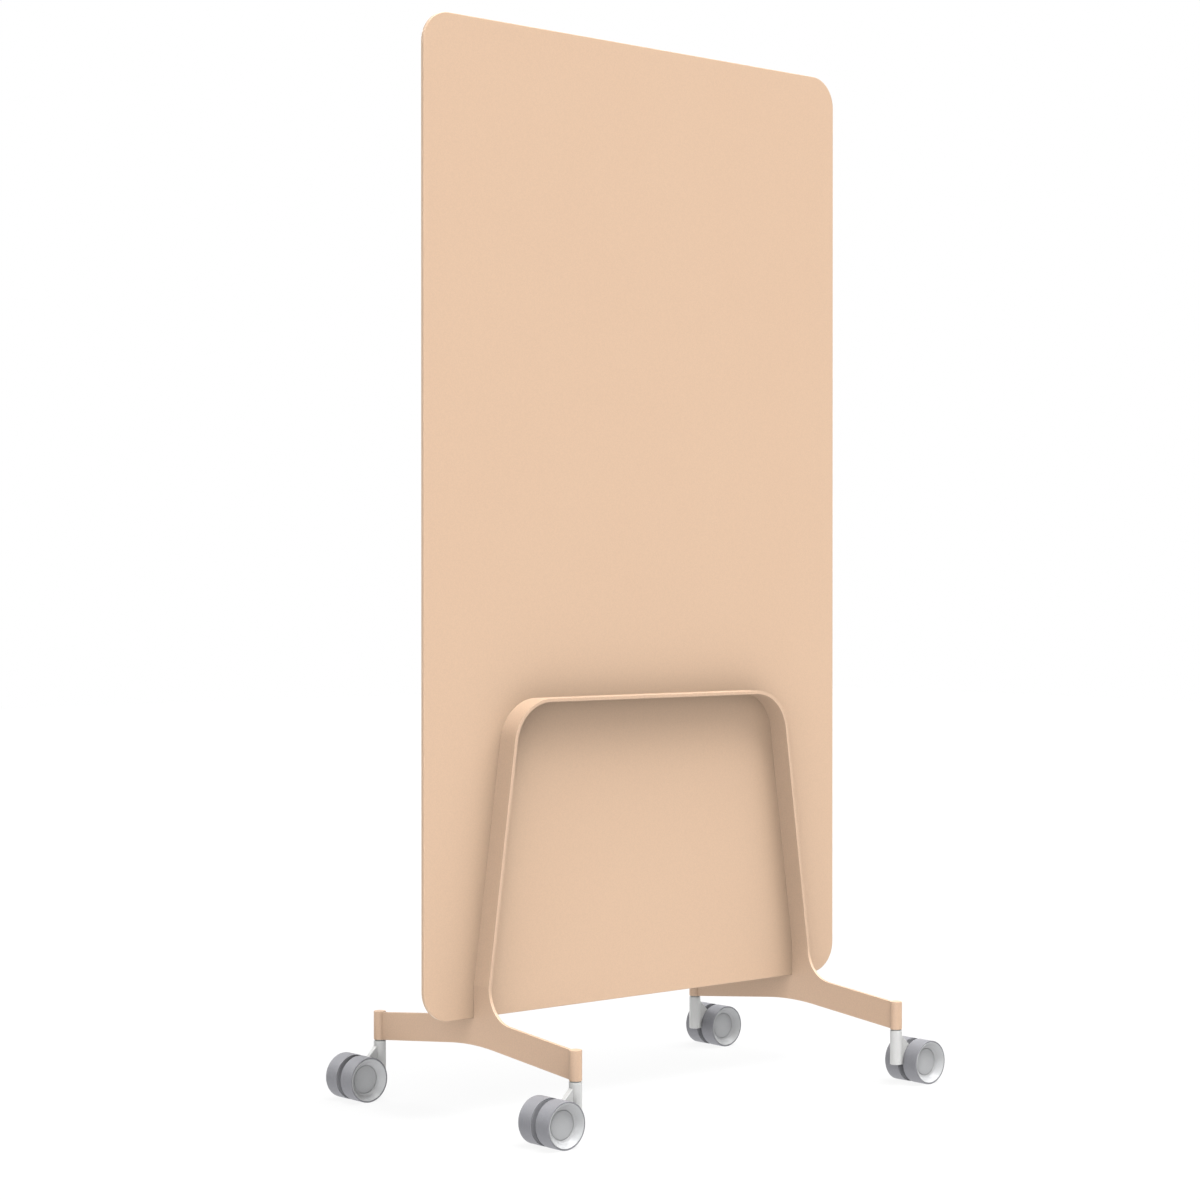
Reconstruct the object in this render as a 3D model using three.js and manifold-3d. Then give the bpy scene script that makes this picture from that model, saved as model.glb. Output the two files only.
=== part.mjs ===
// Mobile glass whiteboard: a tall painted glass board on an arch of flat steel band,
// with two flat steel feet and four twin-wheel casters.
// Lengths are in millimetres. +Z is up, +X runs along the board, the stand side faces -Y.
// The origin is on the floor, midway between the four casters.

import * as THREE from 'three';
import { mergeVertices } from 'three/addons/utils/BufferGeometryUtils.js';
import Module from 'manifold-3d';

// Clearances, and how far a cutter runs past what it cuts

const seatGap = 0.3;
const runningGap = 0.15;
const cutOverrun = 1;

// Board

const boardWidth = 1000;
const boardTop = 1900;
const boardCornerRadius = 55;
const glassThickness = 4;
const sheetThickness = 0.6;
const panelThickness = 2.4;
const panelRim = 2;
const glassArris = 0.5;
const boardFront = glassThickness;
const sheetFront = -seatGap;
const panelFront = sheetFront - sheetThickness - seatGap;
const boardBack = panelFront - panelThickness;

// Arch of flat band

const bandThickness = 6;
const bandFront = -46;
const archTop = 723;
const archCornerRadius = 82;
const legLean = THREE.MathUtils.degToRad(8);
const bendLand = 2.5;

// Caster housing

const housingRadius = 11;
const housingTop = 101;
const housingBottom = 38;
const housingRim = 0.8;
const webThickness = 10.5;
const webTop = 91;
const webRun = 26;
const webBossRadius = 14;

// Sockets, which stand over the housings on a thrust washer

const washerThickness = 1.2;
const boardOverhang = 110;
const socketX = boardWidth / 2 - boardOverhang;
const socketY = 270;
const socketRadius = 11;
const socketHeight = 51.2;
const socketBottom = housingTop + washerThickness + 2 * seatGap;
const socketTop = socketBottom + socketHeight;
const socketBoreDepth = 40;
const socketRim = 0.8;

// Foot plates: the arms fall from a peak at the board's plane to the sockets

const armHeight = 49.9;
const armDrop = 28.8;
const armEndLow = 1;
const armBottomPeak = socketBottom - armEndLow + armDrop;
const armTopPeak = armBottomPeak + armHeight;
const armBottomRadius = 570;
const legFilletRadius = 59;
const notchDepth = 6.5;
const boardBottom = armTopPeak - notchDepth;

// Screws that hold the board to the arch

const screwRadius = 1.5;
const screwHeadRadius = 3;
const screwHeadHeight = 1.5;
const screwLength = 14;
const screwDriveRadius = 0.9;
const screwDriveDepth = 0.8;
const screwTopShare = 0.7;
const screwLegShares = { high: 0.7, low: 0.2 };

// Caster stem, grip ring and thrust washer

const stemRadius = 5.5;
const stemTop = 138;
const stemChamfer = 1;
const pinRadius = 4;
const pinBottom = 62;
const grooveRadius = 4.7;
const grooveBottom = 124;
const grooveHeight = 2.2;
const gripRingOuterRadius = 5.6;
const gripRingOpening = THREE.MathUtils.degToRad(50);
const washerRadius = 8.5;

// Wheels

const wheelRadius = 40;
const wheelTrail = 51.6;
const wheelWidth = 32;
const webClearance = 1;
const wheelInset = webThickness / 2 + webClearance;
const treadThickness = 2;
const treadRound = 0.8;
const coreRim = 0.9;
const dishRadius = 25;
const dishDepth = 12;
const capThickness = 2.2;
const axleRadius = 4;
const axleEndGap = 1.2;

// Number of flats on round pieces

const cornerSteps = 10;
const wheelSides = 36;
const hubSides = 24;
const tubeSides = 24;
const smallSides = 12;

// Shapes

function roundedPath(corners) {
  const points = [];
  corners.forEach((corner, index) => {
    const before = corners[(index + corners.length - 1) % corners.length];
    const after = corners[(index + 1) % corners.length];
    const here = new THREE.Vector2(corner.u, corner.v);
    if (!corner.radius) {
      points.push(here);
      return;
    }
    const back = new THREE.Vector2(before.u, before.v).sub(here).normalize();
    const ahead = new THREE.Vector2(after.u, after.v).sub(here).normalize();
    const half = Math.acos(back.dot(ahead)) / 2;
    const middle = back.clone().add(ahead).normalize();
    const centre = here.clone().addScaledVector(middle, corner.radius / Math.sin(half));
    const start = here.clone().addScaledVector(back, corner.radius / Math.tan(half)).sub(centre);
    const end = here.clone().addScaledVector(ahead, corner.radius / Math.tan(half)).sub(centre);
    const turn = Math.atan2(start.cross(end), start.dot(end));
    for (let step = 0; step <= corner.steps; step += 1) {
      const angle = (turn * step) / corner.steps;
      points.push(start.clone().rotateAround(new THREE.Vector2(), angle).add(centre));
    }
  });
  return points;
}

function extrudeAlongY(points, frontY, depth, arris = 0) {
  const geometry = new THREE.ExtrudeGeometry(new THREE.Shape(points), {
    depth: depth - 2 * arris,
    bevelEnabled: arris > 0,
    bevelThickness: arris,
    bevelSize: arris,
    bevelOffset: -arris,
    bevelSegments: 1,
  });
  geometry.rotateX(Math.PI / 2);
  geometry.translate(0, frontY + depth - arris, 0);
  return geometry;
}

function extrudeAlongX(points, centreX, width) {
  const geometry = new THREE.ExtrudeGeometry(new THREE.Shape(points), { depth: width, bevelEnabled: false });
  const turn = new THREE.Matrix4().makeBasis(
    new THREE.Vector3(0, 1, 0),
    new THREE.Vector3(0, 0, 1),
    new THREE.Vector3(1, 0, 0),
  );
  geometry.applyMatrix4(turn);
  geometry.translate(centreX - width / 2, 0, 0);
  return geometry;
}

function turnedAboutY(profile, sides) {
  const points = profile.map(([radius, height]) => new THREE.Vector2(radius, height));
  return new THREE.LatheGeometry(points, sides);
}

function turnedAboutZ(profile, sides) {
  return turnedAboutY(profile, sides).rotateX(Math.PI / 2);
}

// Solid cutting and joining

const wasm = await Module();
wasm.setup();

function toSolid(geometry) {
  const bare = geometry.clone();
  bare.deleteAttribute('normal');
  bare.deleteAttribute('uv');
  const merged = mergeVertices(bare);
  const mesh = new wasm.Mesh({
    numProp: 3,
    vertProperties: new Float32Array(merged.attributes.position.array),
    triVerts: new Uint32Array(merged.index.array),
  });
  return new wasm.Manifold(mesh);
}

function toGeometry(solid) {
  const mesh = solid.getMesh();
  const geometry = new THREE.BufferGeometry();
  geometry.setAttribute('position', new THREE.BufferAttribute(mesh.vertProperties, mesh.numProp));
  geometry.setIndex(new THREE.BufferAttribute(mesh.triVerts, 1));
  return geometry;
}

function cutAway(geometry, cutters) {
  return toGeometry(cutters.reduce((solid, cutter) => solid.subtract(toSolid(cutter)), toSolid(geometry)));
}

function joined(geometries) {
  const [first, ...rest] = geometries.map(toSolid);
  return toGeometry(rest.reduce((solid, piece) => solid.add(piece), first));
}

// Materials

function paint(color, roughness, metalness = 0) {
  return () => new THREE.MeshStandardMaterial({ color, roughness, metalness });
}

const paintedGlass = paint(0xe8c7a8, 0.35);
const powderCoat = paint(0xe6c3a2, 0.55);
const coatedAluminium = paint(0xe8c7a8, 0.5);
const bareSteel = paint(0xb9bbc0, 0.35, 0.9);
const whitePlastic = paint(0xe4e5e8, 0.45);
const wheelPlastic = paint(0xd2d3d5, 0.45);
const capPlastic = paint(0xb6b7b9, 0.5);
const greyTread = paint(0xa3a3a9, 0.7);

function piece(name, geometry, makeMaterial) {
  const mesh = new THREE.Mesh(geometry, makeMaterial());
  mesh.name = name;
  return mesh;
}

// The board's three layers share one outline, and the sheet lies inside the rear panel's rim

function boardOutline(inset = 0) {
  const half = boardWidth / 2 - inset;
  const corner = { radius: boardCornerRadius - inset, steps: cornerSteps };
  return roundedPath([
    { u: -half, v: boardBottom + inset, ...corner },
    { u: half, v: boardBottom + inset, ...corner },
    { u: half, v: boardTop - inset, ...corner },
    { u: -half, v: boardTop - inset, ...corner },
  ]);
}

function writingGlass() {
  return extrudeAlongY(boardOutline(), boardFront - glassThickness, glassThickness, glassArris);
}

function magneticSheet() {
  return extrudeAlongY(boardOutline(panelRim + seatGap), sheetFront - sheetThickness, sheetThickness);
}

function rearPanel() {
  const tray = extrudeAlongY(boardOutline(), boardBack, sheetFront - boardBack);
  const pocket = extrudeAlongY(boardOutline(panelRim), panelFront, sheetFront - panelFront + cutOverrun);
  return cutAway(tray, [pocket, ...screwHoles()]);
}

// The arch: the legs lean inwards by a constant angle above the bend,
// which lies just above the fillet between leg and front arm

const armSlope = armDrop / socketY;
const legCornerHeight = armTopPeak + armSlope * bandFront;
const legCornerHalfAngle = Math.PI / 4 + Math.atan(armSlope) / 2;
const bendHeight = legCornerHeight + legFilletRadius / Math.tan(legCornerHalfAngle) + bendLand;

function legOuterX(height) {
  return socketX + bandThickness / 2 - (height - bendHeight) * Math.tan(legLean);
}

function archBand() {
  const legWall = bandThickness / Math.cos(legLean);
  const foot = bendHeight + seatGap;
  const innerTop = archTop - bandThickness;
  const outer = { radius: archCornerRadius, steps: cornerSteps };
  const inner = { radius: archCornerRadius - bandThickness, steps: cornerSteps };
  const outline = roundedPath([
    { u: -legOuterX(foot), v: foot },
    { u: -legOuterX(foot) + legWall, v: foot },
    { u: -legOuterX(innerTop) + legWall, v: innerTop, ...inner },
    { u: legOuterX(innerTop) - legWall, v: innerTop, ...inner },
    { u: legOuterX(foot) - legWall, v: foot },
    { u: legOuterX(foot), v: foot },
    { u: legOuterX(archTop), v: archTop, ...outer },
    { u: -legOuterX(archTop), v: archTop, ...outer },
  ]);
  const band = extrudeAlongY(outline, bandFront, boardBack - seatGap - bandFront);
  return cutAway(band, screwHoles());
}

// Screws run along -Y from the rear panel into the middle of the band's edge

function screwPlaces() {
  const half = bandThickness / 2;
  const straight = legOuterX(archTop) - archCornerRadius;
  return Object.entries({ left: -1, right: 1 }).flatMap(([side, sign]) => {
    const top = { name: `top_${side}`, x: sign * screwTopShare * straight, z: archTop - half };
    const legs = Object.entries(screwLegShares).map(([level, share]) => {
      const z = bendHeight + share * (archTop - bendHeight);
      return { name: `${level}_${side}`, x: sign * (legOuterX(z) - half / Math.cos(legLean)), z };
    });
    return [top, ...legs];
  });
}

function screwHole(clearance) {
  const neck = screwHeadHeight + clearance;
  return turnedAboutY([
    [0, -screwLength - clearance],
    [screwRadius + clearance, -screwLength - clearance],
    [screwRadius + clearance, -neck],
    [screwHeadRadius + clearance, 0],
    [screwHeadRadius + clearance, cutOverrun],
    [0, cutOverrun],
  ], smallSides);
}

function screwHoles() {
  return screwPlaces().map((place) => screwHole(seatGap).translate(place.x, panelFront, place.z));
}

function screw() {
  return turnedAboutY([
    [0, -screwLength],
    [screwRadius, -screwLength],
    [screwRadius, -screwHeadHeight],
    [screwHeadRadius, -runningGap],
    [screwDriveRadius, -runningGap],
    [screwDriveRadius, -screwDriveDepth],
    [0, -screwDriveDepth],
  ], smallSides);
}

// Foot plate: lower leg, front arm and rear arm in one flat shape, notched for the board's edge

function footOutline() {
  const notchBack = boardBack - seatGap;
  const notchFront = boardFront + seatGap;
  const notchBottom = boardBottom - seatGap;
  return roundedPath([
    { u: bandFront, v: bendHeight },
    { u: bandFront, v: legCornerHeight, radius: legFilletRadius, steps: cornerSteps },
    { u: -socketY, v: armTopPeak - armDrop },
    { u: -socketY, v: armBottomPeak - armDrop },
    { u: 0, v: armBottomPeak, radius: armBottomRadius, steps: cornerSteps },
    { u: socketY, v: armBottomPeak - armDrop },
    { u: socketY, v: armTopPeak - armDrop },
    { u: notchFront, v: armTopPeak - armSlope * notchFront },
    { u: notchFront, v: notchBottom },
    { u: notchBack, v: notchBottom },
    { u: notchBack, v: bendHeight },
  ]);
}

function footPlate(side) {
  const plate = extrudeAlongX(footOutline(), side * socketX, bandThickness);
  const coping = turnedAboutZ([
    [0, 0],
    [socketRadius + seatGap, 0],
    [socketRadius + seatGap, socketTop + cutOverrun],
    [0, socketTop + cutOverrun],
  ], tubeSides);
  return cutAway(plate, [-socketY, socketY].map((y) => coping.clone().translate(side * socketX, y, 0)));
}

// Socket: a short tube closed at the top, with the stem's bore from below

function socket() {
  const bore = stemRadius + seatGap;
  return turnedAboutZ([
    [bore, socketBottom],
    [socketRadius, socketBottom],
    [socketRadius, socketTop - socketRim],
    [socketRadius - socketRim, socketTop],
    [0, socketTop],
    [0, socketBottom + socketBoreDepth],
    [bore, socketBottom + socketBoreDepth],
    [bore, socketBottom],
  ], tubeSides);
}

// Stem: held in the socket by its grip ring, with a thinner pin below that the housing turns on

function stem() {
  return turnedAboutZ([
    [0, pinBottom],
    [pinRadius, pinBottom],
    [pinRadius, socketBottom],
    [stemRadius, socketBottom],
    [stemRadius, grooveBottom],
    [grooveRadius, grooveBottom],
    [grooveRadius, grooveBottom + grooveHeight],
    [stemRadius, grooveBottom + grooveHeight],
    [stemRadius, stemTop - stemChamfer],
    [stemRadius - stemChamfer, stemTop],
    [0, stemTop],
  ], tubeSides);
}

function gripRing() {
  const outline = new THREE.Shape();
  const from = gripRingOpening / 2;
  outline.absarc(0, 0, gripRingOuterRadius, from, 2 * Math.PI - from, false);
  outline.absarc(0, 0, grooveRadius + runningGap, 2 * Math.PI - from, from, true);
  const ring = new THREE.ExtrudeGeometry(outline, {
    depth: grooveHeight - 2 * seatGap,
    bevelEnabled: false,
    curveSegments: smallSides,
  });
  return ring.translate(0, 0, grooveBottom + seatGap);
}

function thrustWasher() {
  const low = housingTop + seatGap;
  const high = low + washerThickness;
  const bore = pinRadius + seatGap;
  return turnedAboutZ([
    [bore, low],
    [washerRadius, low],
    [washerRadius, high],
    [bore, high],
    [bore, low],
  ], tubeSides);
}

// Caster housing: vertical tube with a web that runs down and out to the axle boss

function housing() {
  const tube = turnedAboutZ([
    [0, housingBottom],
    [housingRadius - housingRim, housingBottom],
    [housingRadius, housingBottom + housingRim],
    [housingRadius, housingTop - housingRim],
    [housingRadius - housingRim, housingTop],
    [0, housingTop],
  ], tubeSides);
  const web = extrudeAlongY(roundedPath([
    { u: 0, v: housingBottom + housingRim },
    { u: wheelTrail + webBossRadius, v: wheelRadius - webBossRadius, radius: webBossRadius, steps: cornerSteps },
    { u: wheelTrail + webBossRadius, v: wheelRadius + webBossRadius, radius: webBossRadius, steps: cornerSteps },
    { u: webRun + housingRadius, v: webTop - webRun },
    { u: housingRadius, v: webTop },
    { u: 0, v: webTop },
  ]), -webThickness / 2, webThickness);
  const stemBore = pinRadius + runningGap;
  const boreFloor = pinBottom - seatGap;
  const pinBore = turnedAboutZ([
    [0, boreFloor],
    [stemBore, boreFloor],
    [stemBore, housingTop + cutOverrun],
    [0, housingTop + cutOverrun],
  ], tubeSides);
  const axleBore = axleShape(axleRadius + seatGap, webThickness / 2 + cutOverrun)
    .translate(wheelTrail, 0, wheelRadius);
  return cutAway(joined([tube, web]), [pinBore, axleBore]);
}

function axleShape(radius, half) {
  return turnedAboutY([[0, -half], [radius, -half], [radius, half], [0, half]], tubeSides);
}

function axle() {
  return axleShape(axleRadius, wheelInset + wheelWidth - dishDepth - capThickness - seatGap - axleEndGap);
}

// Wheel: the profile runs along +Y from the web outwards

function tread() {
  const low = wheelInset;
  const high = wheelInset + wheelWidth;
  const inside = wheelRadius - treadThickness;
  return turnedAboutY([
    [inside, low],
    [wheelRadius - treadRound, low],
    [wheelRadius, low + treadRound],
    [wheelRadius, high - treadRound],
    [wheelRadius - treadRound, high],
    [inside, high],
    [inside, low],
  ], wheelSides);
}

function wheelCore() {
  const low = wheelInset;
  const high = wheelInset + wheelWidth;
  const outside = wheelRadius - treadThickness - seatGap;
  const bore = axleRadius + runningGap;
  const dishFloor = high - dishDepth;
  const pocketFloor = dishFloor - capThickness - seatGap;
  return turnedAboutY([
    [bore, low],
    [outside, low],
    [outside, high],
    [outside - coreRim, high],
    [dishRadius, dishFloor],
    [dishRadius, pocketFloor],
    [bore, pocketFloor],
    [bore, low],
  ], wheelSides);
}

function wheelCap() {
  const top = wheelInset + wheelWidth - dishDepth;
  const edge = dishRadius - seatGap;
  return turnedAboutY([[0, top - capThickness], [edge, top - capThickness], [edge, top], [0, top]], hubSides);
}

// Assembly

function caster(name, shapes, xSide, ySide) {
  const group = new THREE.Group();
  group.name = `caster_${name}`;
  group.position.set(xSide * socketX, ySide * socketY, 0);
  const body = piece(`housing_${name}`, shapes.housing, whitePlastic);
  body.rotation.z = xSide < 0 ? Math.PI : 0;
  group.add(body);
  const hub = new THREE.Group();
  hub.name = `hub_${name}`;
  hub.position.set(xSide * wheelTrail, 0, wheelRadius);
  hub.add(piece(`axle_${name}`, shapes.axle, bareSteel));
  ['near', 'far'].forEach((end) => {
    const wheel = new THREE.Group();
    wheel.name = `wheel_${name}_${end}`;
    wheel.rotation.z = end === 'near' ? Math.PI : 0;
    wheel.add(piece(`tread_${name}_${end}`, shapes.tread, greyTread));
    wheel.add(piece(`core_${name}_${end}`, shapes.core, wheelPlastic));
    wheel.add(piece(`cap_${name}_${end}`, shapes.cap, capPlastic));
    hub.add(wheel);
  });
  group.add(hub);
  return group;
}

const whiteboard = new THREE.Group();
whiteboard.name = 'mobile_glass_whiteboard';

whiteboard.add(piece('writing_glass', writingGlass(), paintedGlass));
whiteboard.add(piece('magnetic_sheet', magneticSheet(), bareSteel));
whiteboard.add(piece('rear_panel', rearPanel(), coatedAluminium));
whiteboard.add(piece('arch_band', archBand(), powderCoat));
whiteboard.add(piece('foot_plate_left', footPlate(-1), powderCoat));
whiteboard.add(piece('foot_plate_right', footPlate(1), powderCoat));

screwPlaces().forEach((place) => {
  const mesh = piece(`band_screw_${place.name}`, screw(), bareSteel);
  mesh.position.set(place.x, panelFront, place.z);
  whiteboard.add(mesh);
});

const socketShapes = {
  socket: [socket(), powderCoat],
  stem: [stem(), bareSteel],
  grip_ring: [gripRing(), bareSteel],
  thrust_washer: [thrustWasher(), whitePlastic],
};

const casterShapes = {
  housing: housing(),
  axle: axle(),
  tread: tread(),
  core: wheelCore(),
  cap: wheelCap(),
};

const corners = [
  ['front_left', -1, -1],
  ['front_right', 1, -1],
  ['rear_left', -1, 1],
  ['rear_right', 1, 1],
];

corners.forEach(([name, xSide, ySide]) => {
  Object.entries(socketShapes).forEach(([part, [geometry, material]]) => {
    const mesh = piece(`${part}_${name}`, geometry, material);
    mesh.position.set(xSide * socketX, ySide * socketY, 0);
    whiteboard.add(mesh);
  });
  whiteboard.add(caster(name, casterShapes, xSide, ySide));
});

export default whiteboard;
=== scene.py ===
import math
import bmesh
import bpy
from mathutils import Matrix, Vector


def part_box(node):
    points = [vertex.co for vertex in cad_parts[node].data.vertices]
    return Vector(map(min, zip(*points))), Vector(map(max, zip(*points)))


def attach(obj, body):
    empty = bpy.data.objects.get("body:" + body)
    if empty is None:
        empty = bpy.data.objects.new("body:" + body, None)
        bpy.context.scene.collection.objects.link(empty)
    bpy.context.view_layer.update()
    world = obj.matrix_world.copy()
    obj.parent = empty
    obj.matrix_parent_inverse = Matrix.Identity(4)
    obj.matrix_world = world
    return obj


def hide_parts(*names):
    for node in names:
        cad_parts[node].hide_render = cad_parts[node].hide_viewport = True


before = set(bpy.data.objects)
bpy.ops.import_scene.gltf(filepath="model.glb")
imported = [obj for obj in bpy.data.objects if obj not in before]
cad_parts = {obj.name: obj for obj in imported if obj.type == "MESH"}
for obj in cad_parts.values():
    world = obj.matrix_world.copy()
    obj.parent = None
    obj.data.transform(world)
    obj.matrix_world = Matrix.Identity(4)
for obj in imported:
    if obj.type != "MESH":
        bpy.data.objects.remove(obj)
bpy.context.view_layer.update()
mm = 0.001
casterSides = {"front_left": -1, "front_right": 1, "rear_left": -1, "rear_right": 1}  # side along X


# Nodes and colours

def linearColour(hexCode):
    channels = [int(hexCode[i:i + 2], 16) / 255 for i in (0, 2, 4)]
    return [c / 12.92 if c <= 0.04045 else ((c + 0.055) / 1.055) ** 2.4 for c in channels] + [1.0]


def addNode(tree, kind, inputs=None, **settings):
    # inputs go by name or number: a mix of colours takes its share at 0 and the colours at 6 and 7
    node = tree.nodes.new(kind)
    for setting, value in settings.items():
        setattr(node, setting, value)
    for socket, value in (inputs or {}).items():
        if isinstance(value, bpy.types.NodeSocket):
            tree.links.new(value, node.inputs[socket])
        else:
            node.inputs[socket].default_value = value
    return node


def perMetre(spacing):
    return 1 / (spacing * mm)  # noise scale for features this many mm apart


waveScale = 0.314  # at scale 1 the wave texture has a band each 314 mm
noiseMiddle = (0.35, 0.65)  # where most values of a noise texture lie
noiseSpan = (0.3, 0.7)  # and nearly all of a detailed one
dielectric = 1.5  # IOR of coats and plastics


def startMaterial(name):
    material = bpy.data.materials.new(name)
    material.use_nodes = True
    material.node_tree.nodes.clear()
    place = addNode(material.node_tree, "ShaderNodeTexCoord").outputs["Object"]
    return material, material.node_tree, place


def endMaterial(tree, inputs):
    shader = addNode(tree, "ShaderNodeBsdfPrincipled", inputs)
    addNode(tree, "ShaderNodeOutputMaterial", {"Surface": shader.outputs["BSDF"]})


# Powder coat on laser-cut steel: sprayed and baked, so it is satin, with a fine orange peel, and
# paler along the sharp edges, partly where the coat is thin and rubbed and partly as a painted
# highlight. The real peel is about 1.5 mm across and too shallow to show, so it is drawn at
# 2.6 mm, deeper, with painted shade in its pits and painted light on its crests

powderOnSteel = {
    "colour": "ecc9ac", "patch": "e9c6a8", "patchSpacing": 140, "roughness": (0.42, 0.52),
    "peelSpacing": 2.6, "peelDepth": 0.05, "paintedPeelShade": (0.972, 1.028),
    # the pale edge colour is rubbed coat and a painted highlight; the peel tone is painted shade
    # and light
    "rubbedEdgeAndHighlight": "f7dcc4", "edgeWidth": 1.3, "edgeTurn": (0.99, 0.80), "edgeShare": 0.7,
}


def powderCoatedSteel(look):
    material, tree, place = startMaterial("powderCoatedSteel")
    cloud = addNode(tree, "ShaderNodeTexNoise", {
        "Vector": place, "Scale": perMetre(look["patchSpacing"]), "Detail": 3.0,
    })
    body = addNode(tree, "ShaderNodeMix", {
        0: cloud.outputs["Fac"], 6: linearColour(look["colour"]), 7: linearColour(look["patch"]),
    }, data_type="RGBA")
    # the bevelled normal turns away from the plain one only near an edge
    rounded = addNode(tree, "ShaderNodeBevel", {"Radius": look["edgeWidth"] * mm}, samples=4)
    flat = addNode(tree, "ShaderNodeNewGeometry")
    turn = addNode(tree, "ShaderNodeVectorMath", {
        0: rounded.outputs["Normal"], 1: flat.outputs["Normal"],
    }, operation="DOT_PRODUCT")
    edge = addNode(tree, "ShaderNodeMapRange", {
        "Value": turn.outputs["Value"],
        "From Min": look["edgeTurn"][0], "From Max": look["edgeTurn"][1],
        "To Min": 0.0, "To Max": look["edgeShare"],
    })
    # paler edges: the thin, rubbed coat, and a painted highlight along every edge
    colour = addNode(tree, "ShaderNodeMix", {
        0: edge.outputs["Result"], 6: body.outputs[2], 7: linearColour(look["rubbedEdgeAndHighlight"]),
    }, data_type="RGBA")
    peel = addNode(tree, "ShaderNodeTexNoise", {
        "Vector": place, "Scale": perMetre(look["peelSpacing"]), "Detail": 1.5, "Roughness": 0.4,
    })
    # painted shade in the peel's pits and painted light on its crests
    tone = addNode(tree, "ShaderNodeMapRange", {
        "Value": peel.outputs["Fac"], "From Min": noiseMiddle[0], "From Max": noiseMiddle[1],
        "To Min": look["paintedPeelShade"][0], "To Max": look["paintedPeelShade"][1],
    })
    peelWithPaintedShade = addNode(tree, "ShaderNodeMix", {
        0: 1.0, 6: colour.outputs[2], 7: tone.outputs["Result"],
    }, data_type="RGBA", blend_type="MULTIPLY")
    shine = addNode(tree, "ShaderNodeMapRange", {
        "Value": cloud.outputs["Fac"], "From Min": noiseMiddle[0], "From Max": noiseMiddle[1],
        "To Min": look["roughness"][0], "To Max": look["roughness"][1],
    })
    bump = addNode(tree, "ShaderNodeBump", {
        "Height": peel.outputs["Fac"], "Strength": 1.0, "Distance": look["peelDepth"] * mm,
    })
    endMaterial(tree, {
        "Base Color": peelWithPaintedShade.outputs[2], "Roughness": shine.outputs["Result"],
        "Normal": bump.outputs["Normal"], "IOR": dielectric,
    })
    return material


# Powder coat on a folded aluminium tray: the same peach, a touch finer and flatter, with the slow
# waviness that thin sheet keeps after folding. Its peel too is drawn coarser and deeper than it is,
# with painted shade in its pits and painted light on its crests

powderOnAluminium = {
    "colour": "f2cfb0", "patch": "f0ccad", "patchSpacing": 260, "roughness": (0.46, 0.54),
    # the peel's tone range is painted shade in its pits and painted light on its crests
    "peelSpacing": 2.2, "peelDepth": 0.035, "paintedPeelShade": (0.98, 1.02),
    "waveSpacing": 330, "waveDepth": 0.06,
}


def powderCoatedAluminium(look):
    material, tree, place = startMaterial("powderCoatedAluminium")
    cloud = addNode(tree, "ShaderNodeTexNoise", {
        "Vector": place, "Scale": perMetre(look["patchSpacing"]), "Detail": 3.0,
    })
    colour = addNode(tree, "ShaderNodeMix", {
        0: cloud.outputs["Fac"], 6: linearColour(look["colour"]), 7: linearColour(look["patch"]),
    }, data_type="RGBA")
    shine = addNode(tree, "ShaderNodeMapRange", {
        "Value": cloud.outputs["Fac"], "From Min": noiseMiddle[0], "From Max": noiseMiddle[1],
        "To Min": look["roughness"][0], "To Max": look["roughness"][1],
    })
    wave = addNode(tree, "ShaderNodeTexNoise", {
        "Vector": place, "Scale": perMetre(look["waveSpacing"]), "Detail": 0.0,
    })
    peel = addNode(tree, "ShaderNodeTexNoise", {
        "Vector": place, "Scale": perMetre(look["peelSpacing"]), "Detail": 1.5, "Roughness": 0.4,
    })
    # painted shade in the peel's pits and painted light on its crests
    tone = addNode(tree, "ShaderNodeMapRange", {
        "Value": peel.outputs["Fac"], "From Min": noiseMiddle[0], "From Max": noiseMiddle[1],
        "To Min": look["paintedPeelShade"][0], "To Max": look["paintedPeelShade"][1],
    })
    peelWithPaintedShade = addNode(tree, "ShaderNodeMix", {
        0: 1.0, 6: colour.outputs[2], 7: tone.outputs["Result"],
    }, data_type="RGBA", blend_type="MULTIPLY")
    slow = addNode(tree, "ShaderNodeBump", {
        "Height": wave.outputs["Fac"], "Strength": 1.0, "Distance": look["waveDepth"] * mm,
    })
    fine = addNode(tree, "ShaderNodeBump", {
        "Height": peel.outputs["Fac"], "Strength": 1.0, "Distance": look["peelDepth"] * mm,
        "Normal": slow.outputs["Normal"],
    })
    endMaterial(tree, {
        "Base Color": peelWithPaintedShade.outputs[2], "Roughness": shine.outputs["Result"],
        "Normal": fine.outputs["Normal"], "IOR": dielectric,
    })
    return material


# Toughened float glass lacquered on its back: a flat colour under a hard gloss, with the faint
# roller wave that toughening leaves and dry wipe marks from cleaning

lacqueredGlass = {
    "colour": "e8c7a8", "cast": "e4c5a8", "castSpacing": 400,
    "roughness": (0.03, 0.11), "ior": 1.52,
    "rollerWave": 210, "rollerDepth": 0.02,
    "wipeLength": 240, "wipeWidth": 26, "wipeTilt": 0.5, "wipeRange": (0.45, 0.75),
}


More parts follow.
